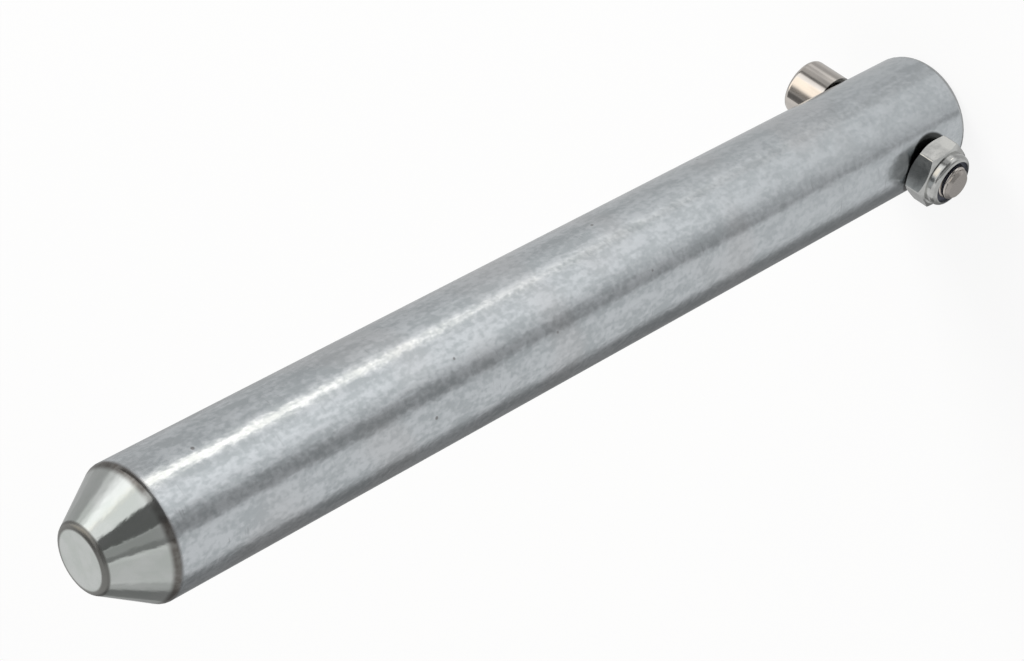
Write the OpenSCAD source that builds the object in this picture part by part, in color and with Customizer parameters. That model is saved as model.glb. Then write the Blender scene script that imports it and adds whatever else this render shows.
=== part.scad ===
// Centre pin: a round bar with a coned nose, cross-drilled near its square end
// for a socket head bolt and a thin lock nut that stop it in its holes.
// The pin stands on its square end with the nose up, along Z. The origin is in
// the middle of that end, and the cross bolt runs from its head to its nut along Y.

/* [Pin] */
// Diameter of the bar
pin_d = 25.4; // [22:0.1:38]
// Length at full diameter, from the nose cone to the square end
shank_l = 203.9; // [120:0.1:300]
// Length of the nose cone
nose_l = 10.3; // [7:0.1:18]
// Diameter of the flat on the nose
nose_flat_d = 12.4; // [8:0.1:16]
// Radius of the edge round the nose flat
nose_edge_r = 1.2; // [0.3:0.1:2.2]
// Radius of the edge where the nose cone meets the shank
shoulder_r = 1.5; // [0.2:0.1:3]
// Radius of the edge at the square end
end_edge_r = 1.6; // [0.3:0.1:2.5]

/* [Cross hole] */
// From the square end to the middle of the cross hole
hole_from_end = 12.4; // [10:0.1:30]
// Gap between the bolt and the wall of the cross hole
hole_gap = 0.2; // [0.1:0.05:0.5]
// Deburring chamfer at each mouth of the cross hole
hole_chamfer = 0.4; // [0.1:0.1:0.8]

/* [Cross bolt] */
// Diameter of the bolt over its thread
bolt_d = 7.94; // [6:0.01:9]
// Diameter at the root of the thread
thread_root_d = 6.6; // [4.8:0.1:7]
// From the underside of the head to the tip
bolt_l = 33.6; // [33.4:0.1:60]
// Plain length under the head
plain_l = 6.4; // [3:0.1:12]
// Diameter of the head
head_d = 11.91; // [11:0.01:14]
// Height of the head
head_h = 7.94; // [6:0.01:10]
// Radius of the top edge of the head
head_edge_r = 1; // [0.3:0.1:1.6]
// Width across the flats of the hexagon socket
socket_af = 6.35; // [4:0.01:6.5]
// Depth of the hexagon socket
socket_depth = 4; // [2:0.1:4.4]
// Diameter of the flat tip
tip_d = 5.4; // [4.4:0.1:6.5]

/* [Lock nut] */
// Width across the flats
nut_af = 12.7; // [12.2:0.1:14]
// Height of the hexagon
hex_h = 4.6; // [4.2:0.1:8]
// Radius of the edges between the flats
hex_edge_r = 0.4; // [0.1:0.05:0.8]
// Diameter of the round bearing face left by the corner chamfer
bearing_d = 12.1; // [11:0.1:12.2]
// Diameter of the collar
collar_d = 11.3; // [10.9:0.1:11.8]
// Height of the collar above the hexagon
collar_h = 2.15; // [1.8:0.05:2.6]
// Wall of the collar round the insert
collar_wall = 0.6; // [0.4:0.05:0.8]
// Radius of the rolled edge of the collar
collar_roll_r = 1.1; // [0.6:0.1:1.4]
// Diameter of the opening inside the rolled lip
lip_d = 9.3; // [8.8:0.1:9.6]
// Thickness of the rolled lip
lip_t = 0.55; // [0.4:0.05:0.8]
// Turn of the nut on the bolt, as it ended up when tight
nut_turn = 11; // [0:1:59]

/* [Nylon insert] */
// Height of the insert
insert_h = 2; // [1.4:0.1:2.6]
// Chamfer at the insert's inner edges, where the thread enters and leaves
insert_chamfer = 0.25; // [0.1:0.05:0.4]

/* [Hidden] */

pin_r = pin_d / 2;
bolt_r = bolt_d / 2;
root_r = thread_root_d / 2;

corner_r = nut_af / 2 / cos(30);
chamfer_angle = 30;
nut_h = hex_h + collar_h;

$fn = 96;
overcut = 1;

// Centre of an edge round of radius q at the corner p, where a level face meets
// a side that slopes inward by the angle lean as it rises to that corner
function edge_centre(p, q, lean) =
    [p.x - q * (1 - sin(lean)) / cos(lean), p.y - q];

// Outline of the turned bar, with its axis on Y and the square end at y = 0
module pin_outline() {
    flat_r = nose_flat_d / 2;
    total_l = shank_l + nose_l;
    cone_angle = atan((pin_r - flat_r) / nose_l);
    away = [cos(cone_angle), sin(cone_angle)];
    end_c = [pin_r - end_edge_r, end_edge_r];
    shoulder_c = [pin_r - shoulder_r, shank_l - shoulder_r * tan(cone_angle / 2)];
    nose_c = edge_centre([flat_r, total_l], nose_edge_r, cone_angle);
    polygon([
        [0, 0],
        [end_c.x, 0],
        [pin_r, end_c.y],
        [pin_r, shoulder_c.y],
        shoulder_c + shoulder_r * away,
        nose_c + nose_edge_r * away,
        [nose_c.x, total_l],
        [0, total_l]
    ]);
    translate(end_c) circle(r = end_edge_r);
    translate(shoulder_c) circle(r = shoulder_r);
    translate(nose_c) circle(r = nose_edge_r);
}

// Places its children on the cross bolt's line: Z runs from the head to the
// nut, z = 0 is on the axis of the bar and X points to the nose
module on_bolt_line() {
    translate([0, 0, hole_from_end]) rotate([-90, -90, 0]) children();
}

module cross_hole() {
    hole_r = bolt_r + hole_gap;
    // the deburring cone starts where the bar's surface drops away from the mouth
    mouth = sqrt(pin_r * pin_r - hole_r * hole_r) - hole_chamfer;
    cone_h = pin_r - mouth + overcut;
    cylinder(r = hole_r, h = pin_d + 2 * overcut, center = true);
    for (side = [0, 1]) mirror([0, 0, side])
        translate([0, 0, mouth]) cylinder(r1 = hole_r, r2 = hole_r + cone_h, h = cone_h);
}

module pin() {
    color("lightsteelblue") difference() {
        rotate_extrude() pin_outline();
        on_bolt_line() cross_hole();
    }
}

// Outline of the turned bolt, with the underside of its head at y = 0
module bolt_outline() {
    head_r = head_d / 2;
    head_c = [head_r - head_edge_r, head_edge_r - head_h];
    runout = bolt_r - root_r;
    tip_start = root_r - tip_d / 2;
    polygon([
        [0, -head_h],
        [head_c.x, -head_h],
        [head_r, head_c.y],
        [head_r, 0],
        [bolt_r, 0],
        [bolt_r, plain_l],
        [root_r, plain_l + runout],
        [root_r, bolt_l - tip_start],
        [tip_d / 2, bolt_l],
        [0, bolt_l]
    ]);
    translate(head_c) circle(r = head_edge_r);
}

// Hexagon socket with its drill point, opening towards -Z at z = 0
module socket() {
    flat_r = socket_af / 2;
    across_r = flat_r / cos(30);
    lead_in = 0.3;
    drill_angle = 59;
    translate([0, 0, -overcut]) cylinder(r = across_r, h = socket_depth + overcut, $fn = 6);
    translate([0, 0, socket_depth]) cylinder(r1 = flat_r, r2 = 0, h = flat_r / tan(drill_angle));
    translate([0, 0, -overcut])
        cylinder(r1 = across_r + overcut, r2 = across_r - lead_in, h = overcut + lead_in);
}

module cross_bolt() {
    color("silver") on_bolt_line() translate([0, 0, -pin_r]) difference() {
        rotate_extrude() bolt_outline();
        translate([0, 0, -head_h]) socket();
    }
}

// Six flats with a small round between each pair
module hexagon() {
    round_at = (nut_af / 2 - hex_edge_r) / cos(30);
    function centre(k) = round_at * [cos(60 * k), sin(60 * k)];
    polygon([
        for (k = [0:5], side = [-30, 30])
            centre(k) + hex_edge_r * [cos(60 * k + side), sin(60 * k + side)]
    ]);
    for (k = [0:5]) translate(centre(k)) circle(r = hex_edge_r);
}

// Solid of revolution that cuts both ends of the hexagon back to 30 degrees
module corner_chamfer() {
    reach = corner_r + overcut;
    rise = (reach - bearing_d / 2) * tan(chamfer_angle);
    rotate_extrude() polygon([
        [0, 0],
        [bearing_d / 2, 0],
        [reach, rise],
        [reach, hex_h - rise],
        [bearing_d / 2, hex_h],
        [0, hex_h]
    ]);
}

// The collar is one wall with the hexagon below it and is rolled in over the insert
module collar_outline() {
    roll_c = [collar_d / 2 - collar_roll_r, nut_h - collar_roll_r];
    polygon([
        [0, hex_h / 2],
        [collar_d / 2, hex_h / 2],
        [collar_d / 2, roll_c.y],
        [roll_c.x, nut_h],
        [0, nut_h]
    ]);
    translate(roll_c) circle(r = collar_roll_r);
}

// Threaded bore, the pocket that the insert sits in and the opening of the lip
module nut_bore_outline() {
    pocket_r = collar_d / 2 - collar_wall;
    pocket_top = nut_h - lip_t;
    countersink = 0.5;
    polygon([
        [0, -overcut],
        [root_r + countersink + overcut, -overcut],
        [root_r, countersink],
        [root_r, pocket_top - insert_h],
        [pocket_r, pocket_top - insert_h],
        [pocket_r, pocket_top],
        [lip_d / 2, pocket_top],
        [lip_d / 2, nut_h + overcut],
        [0, nut_h + overcut]
    ]);
}

module lock_nut() {
    color("slategray") on_bolt_line() translate([0, 0, pin_r]) difference() {
        union() {
            intersection() {
                rotate([0, 0, nut_turn]) linear_extrude(hex_h) hexagon();
                corner_chamfer();
            }
            rotate_extrude() collar_outline();
        }
        rotate_extrude() nut_bore_outline();
    }
}

module nylon_insert() {
    insert_r = collar_d / 2 - collar_wall;
    color("midnightblue") on_bolt_line() translate([0, 0, pin_r + nut_h - lip_t - insert_h])
        rotate_extrude() polygon([
            [root_r + insert_chamfer, 0],
            [insert_r, 0],
            [insert_r, insert_h],
            [root_r + insert_chamfer, insert_h],
            [root_r, insert_h - insert_chamfer],
            [root_r, insert_chamfer]
        ]);
}

pin();
cross_bolt();
lock_nut();
nylon_insert();
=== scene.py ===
import bpy
import math
from mathutils import Matrix, Vector


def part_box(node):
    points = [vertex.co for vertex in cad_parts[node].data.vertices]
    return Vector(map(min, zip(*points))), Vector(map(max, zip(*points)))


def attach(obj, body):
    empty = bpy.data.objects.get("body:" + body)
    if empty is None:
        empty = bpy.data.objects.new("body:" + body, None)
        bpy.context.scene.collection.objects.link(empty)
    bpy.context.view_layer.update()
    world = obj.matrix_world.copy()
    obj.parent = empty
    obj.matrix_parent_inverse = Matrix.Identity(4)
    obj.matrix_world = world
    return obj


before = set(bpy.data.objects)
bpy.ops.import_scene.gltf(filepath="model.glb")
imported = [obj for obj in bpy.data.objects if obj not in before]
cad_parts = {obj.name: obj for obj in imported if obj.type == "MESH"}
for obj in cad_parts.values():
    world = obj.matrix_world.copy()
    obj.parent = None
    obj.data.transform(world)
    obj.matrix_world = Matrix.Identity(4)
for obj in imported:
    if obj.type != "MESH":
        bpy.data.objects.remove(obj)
bpy.context.view_layer.update()

# ---------------------------------------------------------------- The pin
# A drawn round steel bar, turned to a cone at the nose and cut square at the
# other end, then cross-drilled and zinc plated. The plate is satin and finely
# mottled on the drawn wall, and smoother where the tool cut the nose.

MM = 0.001
NOSE_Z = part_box("pin")[1].z
SHOULDER_Z = NOSE_Z - 10.3 * MM
NOSE_EDGE_R = 5.7 * MM
BURNT_Z = SHOULDER_Z + 0.25 * MM
BURNT_HALF = 1.2 * MM
SQUARE_EDGE_Z = 1.9 * MM
HOLE_Z = 12.4 * MM
# outer radius of the painted shade round the nut's seat on the bar
NUT_SHADE_R = 6.95 * MM

ZINC_DULL = (0.47, 0.504, 0.521, 1)
ZINC_BRIGHT = (0.625, 0.656, 0.68, 1)
ZINC_WARM = (0.61, 0.58, 0.575, 1)
CUT_DULL = (0.545, 0.575, 0.55, 1)
CUT_BRIGHT = (0.60, 0.62, 0.605, 1)
SCRATCH = (0.30, 0.31, 0.32, 1)
PIT = (0.16, 0.15, 0.145, 1)
BURNT_LINE = (0.11, 0.094, 0.084, 1)
NOSE_EDGE = (0.14, 0.135, 0.126, 1)
CUT_END_EDGE = (0.36, 0.345, 0.32, 1)
# colour of the painted shade under the nut, for its shadow and dark reflection
PAINTED_NUT_SHADE = (0.03, 0.032, 0.03, 1)


class Val:
    """A value in a node tree. Arithmetic on it adds Math nodes."""

    def __init__(self, tree, socket):
        self.tree = tree
        self.socket = socket

    def maths(self, operation, *values):
        node = self.tree.nodes.new("ShaderNodeMath")
        node.operation = operation
        for socket, value in zip(node.inputs, values):
            put(value, socket)
        return Val(self.tree, node.outputs[0])

    def __add__(self, other):
        return self.maths("ADD", self, other)

    def __radd__(self, other):
        return self.maths("ADD", other, self)

    def __sub__(self, other):
        return self.maths("SUBTRACT", self, other)

    def __rsub__(self, other):
        return self.maths("SUBTRACT", other, self)

    def __mul__(self, other):
        return self.maths("MULTIPLY", self, other)

    def __rmul__(self, other):
        return self.maths("MULTIPLY", other, self)

    def __truediv__(self, other):
        return self.maths("DIVIDE", self, other)

    def __rtruediv__(self, other):
        return self.maths("DIVIDE", other, self)

    def __abs__(self):
        return self.maths("ABSOLUTE", self)

    def node(self, kind, settings=(), out=0, **inputs):
        """Adds a node to this tree, its settings first, and gives its output out.

        An input goes by its identifier, or by its name with _ for a space."""
        made = self.tree.nodes.new(kind)
        for name, value in dict(settings).items():
            setattr(made, name, value)
        for name, value in inputs.items():
            spaced = name.replace("_", " ")
            put(value, next(s for s in made.inputs
                            if s.identifier == name or (s.name == spaced and s.enabled)))
        return Val(self.tree, made.outputs[out])

    def parts(self):
        """The x, y and z of this vector."""
        split = self.node("ShaderNodeSeparateXYZ", Vector=self).socket.node
        return [Val(self.tree, socket) for socket in split.outputs]

    def step(self, low, high):
        """0 below low, 1 above high and smooth between. If high is the lower one,
        it is 1 below high and 0 above low."""
        return self.node("ShaderNodeMapRange", {"interpolation_type": "SMOOTHSTEP"}, Value=self,
                         From_Min=low, From_Max=high, To_Min=0.0, To_Max=1.0)

    def tint(self, low, high):
        """The colour that goes from low to high as this goes from 0 to 1."""
        return self.node("ShaderNodeMix", {"data_type": "RGBA"}, out=2, Factor_Float=self,
                         A_Color=low, B_Color=high)


def put(value, socket):
    """Links a value to a socket, or sets the socket to it if it is a constant."""
    if isinstance(value, Val):
        value.tree.links.new(value.socket, socket)
    else:
        socket.default_value = value


def finish_of(slot):
    """Empties a slot's material for a new finish. Gives its shader and the place on
    the object, which its patterns are laid out by."""
    material = bpy.data.materials[slot]
    material.use_nodes = True
    tree = material.node_tree
    tree.nodes.clear()
    output = tree.nodes.new("ShaderNodeOutputMaterial")
    shader = tree.nodes.new("ShaderNodeBsdfPrincipled")
    tree.links.new(shader.outputs[0], output.inputs[0])
    coords = tree.nodes.new("ShaderNodeTexCoord")
    return shader, Val(tree, coords.outputs["Object"])


def feed(shader, **inputs):
    """Gives a finish's shader its colour, its roughness and the rest."""
    for name, value in inputs.items():
        put(value, shader.inputs[name.replace("_", " ")])


def noise(place, per_mm, detail=2.0, roughness=0.5, stretch=(1, 1, 1)):
    """Noise with about per_mm features to the millimetre, drawn out by stretch."""
    laid = place.node("ShaderNodeMapping", Vector=place,
                      Scale=tuple(per_mm / MM / s for s in stretch))
    return laid.node("ShaderNodeTexNoise", {"noise_dimensions": "3D"}, Vector=laid,
                     Scale=1.0, Detail=detail, Roughness=roughness)


shader, place = finish_of("zinc_plated_bar")
x, y, z = place.parts()
# 1 on the drawn wall and 0 on the turned nose
wall = z.step(SHOULDER_Z + 0.1 * MM, SHOULDER_Z - 0.3 * MM)

# the plate's crystals, drawn out along the bar, and evener towards the square end
flecks = noise(place, 1.05, detail=1.5, stretch=(1, 1, 1.3))
patches = noise(place, 0.36, stretch=(1, 1, 1.8))
grain = noise(place, 0.9, detail=3.0, roughness=0.6, stretch=(1, 1, 22))
streaks = noise(place, 0.6, stretch=(1, 1, 45)) - 0.5
mottle = flecks * 0.4 + patches * 0.42 + grain * 0.18
contrast = z.step(15 * MM, 120 * MM) * 0.5 + 0.5
shade = (mottle.step(0.4, 0.6) - 0.5) * contrast + 0.5 + streaks * 0.5
warm = noise(place, 0.05, detail=1.0).step(0.5, 0.66) * 0.2
plate = warm.tint(shade.tint(ZINC_DULL, ZINC_BRIGHT), ZINC_WARM)

# the turned nose, plainer and a little greener than the drawn wall
turned = noise(place, 0.3, detail=3.0, stretch=(1, 1, 5)).step(0.35, 0.65)
colour = wall.tint(turned.tint(CUT_DULL, CUT_BRIGHT), plate)

# fine marks round the wall where it was handled, and a few small pits
handled = noise(place, 0.12).step(0.5, 0.62)
marks = noise(place, 3.2, detail=1.0, stretch=(12, 12, 1)).step(0.66, 0.76)
marks = marks * handled * wall
colour = (marks * 0.4).tint(colour, SCRATCH)
cells = place.node("ShaderNodeTexVoronoi", {"feature": "F1"}, Vector=place,
                   Scale=105.0, Randomness=1.0)
pits = cells.step(0.05, 0.025) * wall
colour = (pits * 0.75).tint(colour, PIT)

# the dark line at the shoulder, where the cut leaves the wall, worn thin on one side,
# which is given in radians round the bar
WORN_SIDE = 2.68
WORN_WIDTH = 0.2
side = y.maths("ARCTAN2", y, x)
unworn = abs((side - WORN_SIDE) / WORN_WIDTH).step(0.6, 1.4)
burnt = abs((z - BURNT_Z) / BURNT_HALF).step(1.0, 0.2)
burnt = burnt * (0.4 + unworn * 0.35 + flecks.step(0.3, 0.7) * 0.15)
colour = burnt.tint(colour, BURNT_LINE)

# the broken edge round the nose's flat, and the one round the square end
across = x.maths("SQRT", x * x + y * y)
nose_edge = across.step(NOSE_EDGE_R - 0.5 * MM, NOSE_EDGE_R)
nose_edge = nose_edge * z.step(NOSE_Z - 1.0 * MM, NOSE_Z - 0.6 * MM)
colour = (nose_edge * 0.85).tint(colour, NOSE_EDGE)
square_edge = z.step(SQUARE_EDGE_Z, SQUARE_EDGE_Z - 0.9 * MM)
colour = (square_edge * 0.45).tint(colour, CUT_END_EDGE)

# painted shade: a dark ring on the bar round the cross hole, darkest where the flat nut stands clear of
# the round bar, for the nut's shadow and its dark reflection in the wedge
from_hole = z - HOLE_Z
painted_nut_shade = x.maths("SQRT", x * x + from_hole * from_hole).step(NUT_SHADE_R, NUT_SHADE_R - 0.5 * MM)
painted_nut_shade = painted_nut_shade * y.step(0.0, 1.0 * MM)
painted_nut_shade = painted_nut_shade * (0.7 + abs(x).step(1.5 * MM, 5.0 * MM) * 0.25)
colour = painted_nut_shade.tint(colour, PAINTED_NUT_SHADE)

# the waves that drawing and plating left, stronger towards the nose, then calmer on
# the cone and least on its flat
waves = (flecks * 0.6 + patches * 3.0 + grain * 0.12) * (0.65 + z * (0.3 / SHOULDER_Z))
nose_flat = z.step(NOSE_Z - 0.4 * MM, NOSE_Z - 0.05 * MM)
waves = waves * (wall * 0.4 + 0.6 - nose_flat * 0.5)
bump = waves.node("ShaderNodeBump", Height=waves, Strength=1.0, Distance=0.035 * MM)
feed(shader, Base_Color=colour, Metallic=1.0, IOR=1.5, Normal=bump,
     Roughness=0.095 + nose_edge * 0.25 + burnt * 0.12 + wall * (0.075 + mottle * 0.1))

# ---------------------------------------------------------------- The cross bolt
# A stainless socket head cap screw through the cross hole: a turned, bright head
# with a hexagon socket, and a rolled thread that runs out of the lock nut to a
# chamfered tip. The CAD has the thread's root, and its ridge is added here.

BOLT_TIP_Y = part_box("cross_bolt")[1].y
THREAD_CREST_R = 3.97 * MM
THREAD_ROOT_R = 3.3 * MM
THREAD_PITCH = 1.411 * MM
THREAD_START_Y = BOLT_TIP_Y - 0.75 * MM
THREAD_TURNS = 3.5
STEPS_PER_TURN = 72.0
BASE_SHARE = 0.86
CREST_SHARE = 0.14
SUNK_SHARE = 0.3
GROWN_AT_START = 0.12
GROWTH_PER_TURN = 1.8

STAINLESS_DULL = (0.57, 0.535, 0.50, 1)
STAINLESS_BRIGHT = (0.67, 0.625, 0.58, 1)
SAWN_TIP = (0.44, 0.41, 0.385, 1)

shader, place = finish_of("stainless_bolt")
y = place.parts()[1]
smears = noise(place, 0.5, stretch=(1, 5, 1))
tip_face = y.step(BOLT_TIP_Y - 0.9 * MM, BOLT_TIP_Y - 0.5 * MM)
colour = smears.step(0.35, 0.65).tint(STAINLESS_DULL, STAINLESS_BRIGHT)
colour = tip_face.tint(colour, SAWN_TIP)
tool_marks = noise(place, 2.0, detail=1.0, stretch=(1, 6, 1))
bump = tool_marks.node("ShaderNodeBump", Height=tool_marks, Strength=0.15, Distance=0.01 * MM)
feed(shader, Base_Color=colour, Metallic=1.0, IOR=1.5, Normal=bump,
     Roughness=0.1 + smears * 0.08 + tip_face * 0.12)


def thread_tree(material):
    """Geometry Nodes that sweep one ridge of thread along a helix about the local Z.
    Gives the tree and its inputs' identifiers by name."""
    tree = bpy.data.node_groups.new("thread_ridge", "GeometryNodeTree")
    identifiers = {}
    for name in ("Root Radius", "Crest Radius", "Pitch", "Turns"):
        socket = tree.interface.new_socket(name, in_out="INPUT", socket_type="NodeSocketFloat")
        identifiers[name] = socket.identifier
    tree.interface.new_socket("Geometry", in_out="OUTPUT", socket_type="NodeSocketGeometry")
    entry = tree.nodes.new("NodeGroupInput")
    root, crest, pitch, turns = (Val(tree, entry.outputs[name]) for name in identifiers)

    # the helix at the root's radius
    turn = turns.node("GeometryNodeInputIndex") / STEPS_PER_TURN
    angle = turn * (2 * math.pi)
    spot = turn.node("ShaderNodeCombineXYZ", X=root * angle.maths("COSINE", angle),
                     Y=root * angle.maths("SINE", angle), Z=pitch * turn)
    line = turns.node("GeometryNodeMeshLine", Count=turns * STEPS_PER_TURN + 1.0)
    helix = line.node("GeometryNodeMeshToCurve", Mesh=line)
    helix = helix.node("GeometryNodeSetPosition", Geometry=helix, Position=spot)
    helix = helix.node("GeometryNodeSetCurveNormal", {"mode": "Z_UP"}, Curve=helix)

    # the ridge's section: a flank each side of a narrow crest, its base sunk in the root
    height = crest - root
    section = height.node("GeometryNodeCurvePrimitiveQuadrilateral", {"mode": "TRAPEZOID"},
                          Bottom_Width=pitch * BASE_SHARE, Top_Width=pitch * CREST_SHARE,
                          Height=height * (1 + SUNK_SHARE), Offset=0.0)
    lift = height.node("ShaderNodeCombineXYZ", Y=height * ((1 - SUNK_SHARE) / 2))
    section = section.node("GeometryNodeTransform", Geometry=section, Translation=lift)

    # it runs in from the tip, and has its full height after half a turn
    growth = turn.maths("MINIMUM", turn * GROWTH_PER_TURN + GROWN_AT_START, 1.0)
    ridge = helix.node("GeometryNodeCurveToMesh", Curve=helix, Profile_Curve=section,
                       Scale=growth, Fill_Caps=True)
    ridge = ridge.node("GeometryNodeRealizeInstances", Geometry=ridge)
    ridge = ridge.node("GeometryNodeSetMaterial", Geometry=ridge, Material=material)
    leave = tree.nodes.new("NodeGroupOutput")
    put(ridge, leave.inputs[0])
    return tree, identifiers


def thread_mesh(tree, identifiers, sizes):
    """A plain mesh of the thread, with the tree's inputs set to sizes."""
    blank = bpy.data.objects.new("thread_blank", bpy.data.meshes.new("thread_blank"))
    bpy.context.collection.objects.link(blank)
    modifier = blank.modifiers.new("thread", "NODES")
    modifier.node_group = tree
    for name, size in sizes.items():
        modifier[identifiers[name]] = size
    evaluated = blank.evaluated_get(bpy.context.evaluated_depsgraph_get())
    mesh = bpy.data.meshes.new_from_object(evaluated)
    bpy.data.objects.remove(blank)
    return mesh


tree, identifiers = thread_tree(bpy.data.materials["stainless_bolt"])
mesh = thread_mesh(tree, identifiers, {
    "Root Radius": THREAD_ROOT_R,
    "Crest Radius": THREAD_CREST_R,
    "Pitch": THREAD_PITCH,
    "Turns": THREAD_TURNS,
})
# its own Z goes in from the tip, along the bolt
along_bolt = Matrix.Rotation(math.radians(90), 4, "X")
mesh.transform(Matrix.Translation((0, THREAD_START_Y, HOLE_Z)) @ along_bolt)
bolt_thread = bpy.data.objects.new("bolt_thread", mesh)
bpy.context.collection.objects.link(bolt_thread)
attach(bolt_thread, "root")

# ---------------------------------------------------------------- The lock nut
# A thin zinc plated hexagon nut, forged and tapped, with a round collar that is
# rolled over a nylon ring. It is tightened against the bar on the bolt's thread.

NUT_DULL = (0.47, 0.475, 0.465, 1)
NUT_BRIGHT = (0.59, 0.595, 0.58, 1)

shader, place = finish_of("zinc_plated_nut")
smut = noise(place, 0.4, detail=3.0)
dimples = noise(place, 1.4)
bump = dimples.node("ShaderNodeBump", Height=dimples, Strength=0.25, Distance=0.02 * MM)
feed(shader, Base_Color=smut.step(0.35, 0.65).tint(NUT_DULL, NUT_BRIGHT),
     Metallic=1.0, IOR=1.5, Normal=bump, Roughness=0.13 + smut * 0.1)

# ---------------------------------------------------------------- The nylon insert
# The moulded ring inside the collar. It has no thread of its own: the bolt cuts
# one as it goes through, and the grip stops the nut from working loose.

NYLON_DARK = (0.022, 0.027, 0.05, 1)
NYLON_SCUFFED = (0.035, 0.043, 0.08, 1)

shader, place = finish_of("nylon")
scuffs = noise(place, 1.2)
feed(shader, Base_Color=scuffs.tint(NYLON_DARK, NYLON_SCUFFED), Roughness=0.45, IOR=1.53)

# ---------------------------------------------------------------- The floor
# A wide sheet of matt white paper under the square end. It takes the pin's soft
# shadow and glows towards the camera, so that it fills the picture with white.
# Mirror rays pass through it, so the metal shows the room's panels in its place.

FLOOR_SIZE = 8.0
PAPER_WHITE = (0.95, 0.95, 0.95, 1)
PAPER_GLOW = 0.86

bpy.ops.mesh.primitive_plane_add(size=FLOOR_SIZE, location=(0, 0, 0))
floor = bpy.context.object
floor.name = "floor"
paper = bpy.data.materials.new("paper")
paper.use_nodes = True
tree = paper.node_tree
tree.nodes.clear()
rays = tree.nodes.new("ShaderNodeLightPath")
camera_ray = Val(tree, rays.outputs["Is Camera Ray"])
matt = camera_ray.node("ShaderNodeBsdfDiffuse", Color=PAPER_WHITE)
glow = camera_ray.node("ShaderNodeEmission", Strength=1.0)
sheet = camera_ray.node("ShaderNodeMixShader", Fac=camera_ray * PAPER_GLOW, Shader=matt, Shader_001=glow)
output = tree.nodes.new("ShaderNodeOutputMaterial")
put(sheet, output.inputs["Surface"])
floor.data.materials.append(paper)
floor.visible_glossy = False
floor.visible_shadow = False

# ---------------------------------------------------------------- The studio
# A room of soft pale panels round the pin, light and dark in turn, which draw the
# bright and dark bands on the metal. One softbox casts the pin's soft shadow on the
# paper, and the metal doesn't mirror it.

CAMERA_SIDE = math.radians(142.1)
ROOM_LIGHT = (0.8, 0.8, 0.8, 1.0)
LAMP_LIGHT = (0.8, 0.745, 0.67, 1.0)
WHITE = (1.0, 1.0, 1.0, 1.0)
SOFTBOX_SIZE = 0.6
SOFTBOX_WATTS = 10.0
SOFTBOX_PLACE = Vector((-0.9, -0.9, 0.9))

world = bpy.data.worlds.new("studio")
bpy.context.scene.world = world
world.use_nodes = True
tree = world.node_tree
tree.nodes.clear()
output = tree.nodes.new("ShaderNodeOutputWorld")
back = tree.nodes.new("ShaderNodeBackground")
tree.links.new(back.outputs[0], output.inputs[0])
coords = tree.nodes.new("ShaderNodeTexCoord")
east, north, up = Val(tree, coords.outputs["Generated"]).parts()
toward = east * math.cos(CAMERA_SIDE) + north * math.sin(CAMERA_SIDE)
rightward = north * math.cos(CAMERA_SIDE) - east * math.sin(CAMERA_SIDE)
around = rightward.maths("ARCTAN2", rightward, toward) * (180 / math.pi)
rise = up.maths("ARCSINE", up) * (180 / math.pi)


def panel(left, right, bottom, top, soft_side, soft_top):
    """1 over a panel of the room and 0 off it. left and right are degrees round the pin,
    0 towards the camera and more to the right of someone who faces the pin from there.
    bottom and top are degrees above level. They fade by soft_side and soft_top each way."""
    half_width = (right - left) / 2
    half_height = (top - bottom) / 2
    off_side = abs(around - (left + right) / 2)
    off_level = abs(rise - (bottom + top) / 2)
    return (off_side.step(half_width + soft_side, half_width - soft_side)
            * off_level.step(half_height + soft_top, half_height - soft_top))


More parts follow.
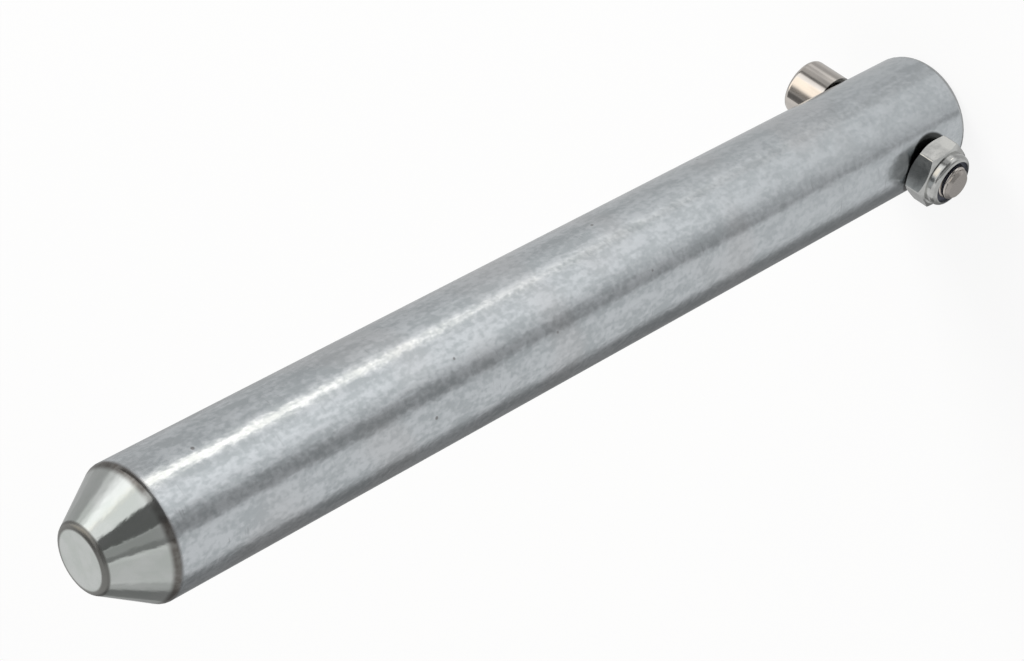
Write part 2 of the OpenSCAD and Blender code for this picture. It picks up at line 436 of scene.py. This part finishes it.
level = 1.0
for left, right, bottom, top, soft_side, soft_top, strength in (
    # below level, which the bar's upright wall mirrors: the right half, dull towards
    # the square end and bright towards the nose
    (-10, 100, -90, -46, 8, 5, 0.72),
    (-8, 72, -43, -14, 8, 5, 1.25),
    (66, 100, -31, -12, 5, 3, 0.74),
    # the dark band a little left of the middle, its darkest line, and the light side
    # beyond it with its dark edge
    (-43, -6, -43, -14, 9, 9, 0.42),
    (-39, -29, -50, -14, 3, 5, 0.38),
    (-104, -38.5, -90, -14, 3, 6, 0.93),
    (-172, -108, -90, -14, 12, 6, 0.29),
    # shades in the middle and the right half, and its edge
    (52, 125, -64, -43, 6, 2.5, 0.64),
    (51, 61, -60, -39, 4, 4, 0.70),
    (-13, 3, -43, -30, 5, 4, 0.97),
    (35, 46, -31, -20, 4, 2.5, 1.02),
    (14, 32, -34, -20, 5, 3, 1.42),
    (98, 178, -90, -14, 8, 6, 0.77),
    # the lamp that draws the hot streak near the nose, and the floor right below
    (51, 61, -34, -23, 3, 3, 3.7),
    (-180, 180, -90, -66, 1, 6, 0.70),
    # above level: the bright right side of the cone and the streak on the bolt's head,
    # over the dark strip at level, which the rounded shoulder mirrors
    (32, 98, 15, 62, 4, 4, 1.36),
    (66, 88, 14, 32, 6, 6, 1.85),
    (60, 136, 26, 56, 6, 5, 1.95),
    (32, 62, 24, 40, 5, 5, 1.36),
    (20, 100, -14, 2, 6, 4, 0.62),
    (20, 100, 2, 13, 6, 3, 0.24),
    # the cone's dark band and the half dark one beside it
    (-10, 29, -14, 50, 2.5, 6, 0.19),
    (-41, -10, -14, 50, 4, 6, 0.50),
    (-42, -31, -14, 50, 3, 6, 0.34),
    # its left side, darker towards the edge
    (-102, -50, -14, 40, 6, 6, 0.86),
    (-122, -104, -14, 16, 5, 5, 0.68),
    (-165, -122, -14, 14, 7, 5, 0.28),
    # the nose's rounded edge, the right edge of the cone and of the wall, and the dark
    # top of the bolt's head
    (-60, 20, 54, 84, 10, 5, 0.20),
    (112, 150, -14, 18, 6, 5, 0.60),
    (148, 180, -34, -4, 5, 4, 0.64),
    (100, 180, 60, 90, 7, 5, 0.11),
    (148, 180, 44, 90, 5, 4, 0.18),
):
    mask = panel(left, right, bottom, top, soft_side, soft_top)
    level = level + mask * (strength - level)

rays = tree.nodes.new("ShaderNodeLightPath")
camera_ray = Val(tree, rays.outputs["Is Camera Ray"])
lamps = panel(51, 61, -34, -23, 4, 3) + panel(60, 136, 30, 60, 6, 5)
light = camera_ray.tint(lamps.tint(ROOM_LIGHT, LAMP_LIGHT), WHITE)
put(light, back.inputs["Color"])
put(level + camera_ray * (1.0 - level), back.inputs["Strength"])

lamp = bpy.data.lights.new("softbox", "AREA")
lamp.shape = "SQUARE"
lamp.size = SOFTBOX_SIZE
lamp.energy = SOFTBOX_WATTS
softbox = bpy.data.objects.new("softbox", lamp)
softbox.location = SOFTBOX_PLACE
lit_spot = Vector((0, 0, 0.1))
softbox.rotation_euler = (lit_spot - SOFTBOX_PLACE).to_track_quat("-Z", "Y").to_euler()
softbox.visible_glossy = False
bpy.context.collection.objects.link(softbox)

# ---------------------------------------------------------------- The camera
# A long lens that looks down past the pin's nose, turned on its side so that the
# standing pin lies across the picture with its nose at the lower left. Its place is
# given by where the centre of the square end is seen from it.

SEEN_RIGHT = Vector((-0.12490, 0.69435, -0.70870))
SEEN_DOWN = Vector((0.76299, 0.52381, 0.37870))
SEEN_AHEAD = Vector((0.63417, -0.49346, -0.59520))
ORIGIN_SEEN = Vector((82.70, -44.27, 590.62)) * MM
SENSOR_MM = 36.0
LENS_MM = 101.69

lens = bpy.data.cameras.new("camera")
lens.sensor_width = SENSOR_MM
lens.lens = LENS_MM
camera = bpy.data.objects.new("camera", lens)
stand = -(ORIGIN_SEEN.x * SEEN_RIGHT + ORIGIN_SEEN.y * SEEN_DOWN + ORIGIN_SEEN.z * SEEN_AHEAD)
facing = Matrix((SEEN_RIGHT, -SEEN_DOWN, -SEEN_AHEAD)).transposed()
camera.matrix_world = Matrix.Translation(stand) @ facing.to_4x4()
bpy.context.collection.objects.link(camera)
bpy.context.scene.camera = camera
bpy.context.scene.view_settings.view_transform = "Standard"
